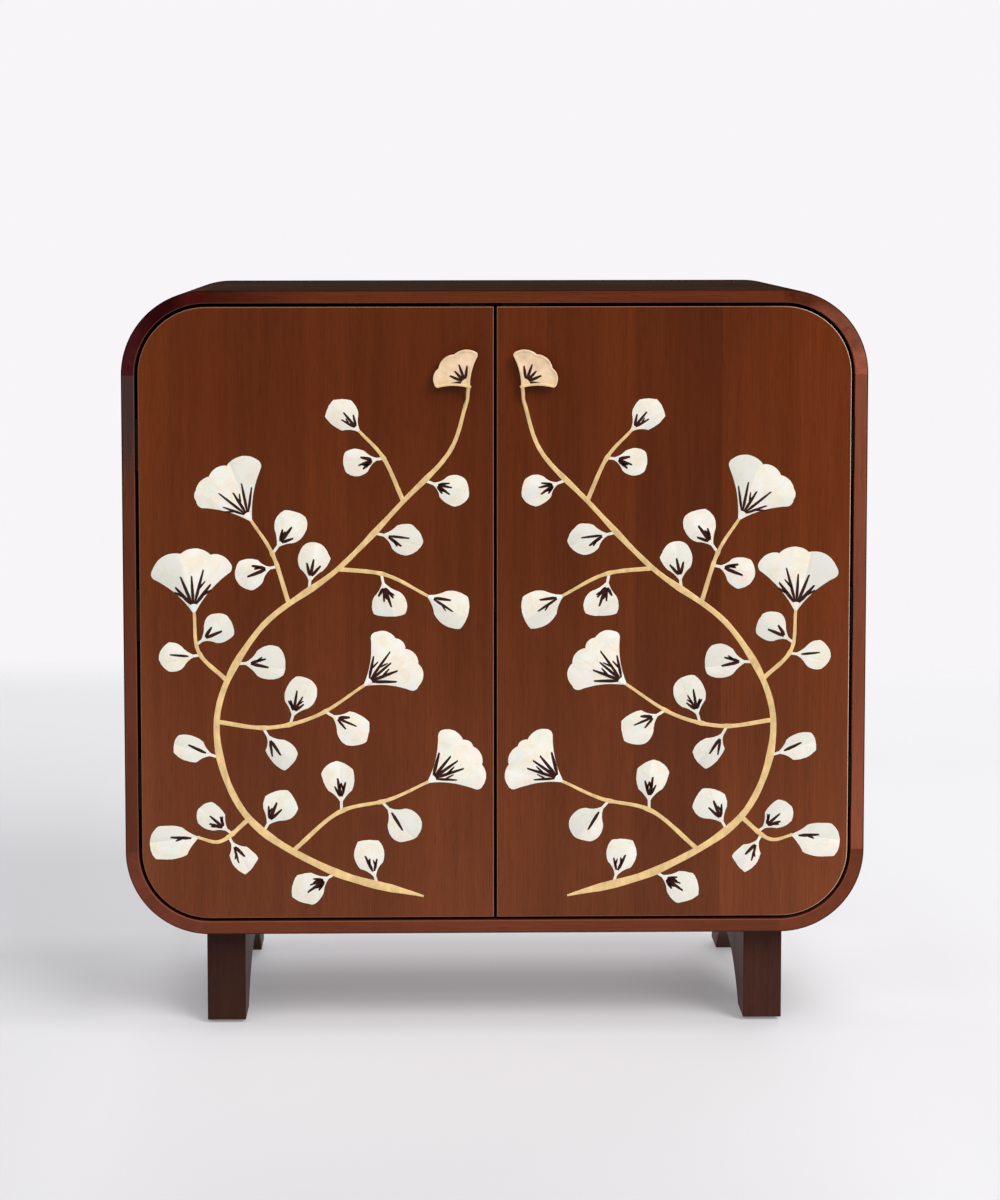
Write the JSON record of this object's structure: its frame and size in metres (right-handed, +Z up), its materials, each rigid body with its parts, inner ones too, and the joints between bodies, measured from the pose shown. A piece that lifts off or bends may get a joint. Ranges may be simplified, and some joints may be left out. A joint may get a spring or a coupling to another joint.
{
  "type": "cabinet",
  "caption": "Low two-door cabinet with a rounded case on two arched leg frames, flush inset doors with a brass and pearl vine inlay, raised flower pulls and one shelf inside.",
  "frame": {"origin": "on the floor, under the middle of the whole cabinet's box, pulls included", "axes": "+Z up, +X to the right as seen from the front, the doors face -Y"},
  "size_m": [0.914, 0.418, 0.92],
  "materials": {
    "case_wood": "satin, dark red-brown stain",
    "back_veneer": "satin, dark red-brown stain",
    "door_veneer": "satin, red-brown stain, upright grain",
    "leg_wood": "satin, near-black brown stain",
    "dowel_wood": "raw beech",
    "brass_inlay": "brushed",
    "pearl_inlay": "polished mother of pearl",
    "vein_filler": "dark lac filling",
    "pull_brass": "satin champagne",
    "glide_plastic": "matt nylon",
    "catch_plastic": "matt",
    "hinge_bronze": "satin, dark bronze over steel",
    "steel": "nickel plated",
    "screw_steel": "zinc plated"
  },
  "bodies": {
    "case": {"top_board": "case_wood", "bottom_board": "case_wood", "left_side_board": "case_wood", "right_side_board": "case_wood", "bottom_right_corner": "case_wood", "bottom_left_corner": "case_wood", "top_right_corner": "case_wood", "top_left_corner": "case_wood", "shelf": "case_wood", "back_panel": "back_veneer", "left_leg_frame": "leg_wood", "right_leg_frame": "leg_wood", "corner_dowels": "dowel_wood", "foot_glides": "glide_plastic", "catch_housings": "catch_plastic", "left_hinge_case_flaps": "hinge_bronze", "right_hinge_case_flaps": "hinge_bronze", "left_hinge_pins": "hinge_bronze", "right_hinge_pins": "hinge_bronze", "left_hinge_case_screws": "hinge_bronze", "right_hinge_case_screws": "hinge_bronze", "catch_magnets": "steel", "shelf_pins": "steel", "back_panel_screws": "screw_steel", "leg_frame_screws": "screw_steel"},
    "left_door": {"left_door_panel": "door_veneer", "left_stem_inlay": "brass_inlay", "left_leaf_inlay": "pearl_inlay", "left_vein_inlay": "vein_filler", "left_door_pull": "pull_brass", "left_pull_screw": "screw_steel", "left_pull_washer": "steel", "left_hinge_door_flaps": "hinge_bronze", "left_hinge_door_screws": "hinge_bronze", "left_strike_plate": "steel"},
    "right_door": {"right_door_panel": "door_veneer", "right_stem_inlay": "brass_inlay", "right_leaf_inlay": "pearl_inlay", "right_vein_inlay": "vein_filler", "right_door_pull": "pull_brass", "right_pull_screw": "screw_steel", "right_pull_washer": "steel", "right_hinge_door_flaps": "hinge_bronze", "right_hinge_door_screws": "hinge_bronze", "right_strike_plate": "steel"}
  },
  "joints": [
    {"name": "left_door_hinge", "type": "hinge", "parent": "case", "child": "left_door", "pos_m": [-0.43875, -0.1955, 0.521], "axis": [0, 0, -1], "range_deg": [0, 105]},
    {"name": "right_door_hinge", "type": "hinge", "parent": "case", "child": "right_door", "pos_m": [0.43875, -0.1955, 0.521], "axis": [0, 0, 1], "range_deg": [0, 105]}
  ]
}
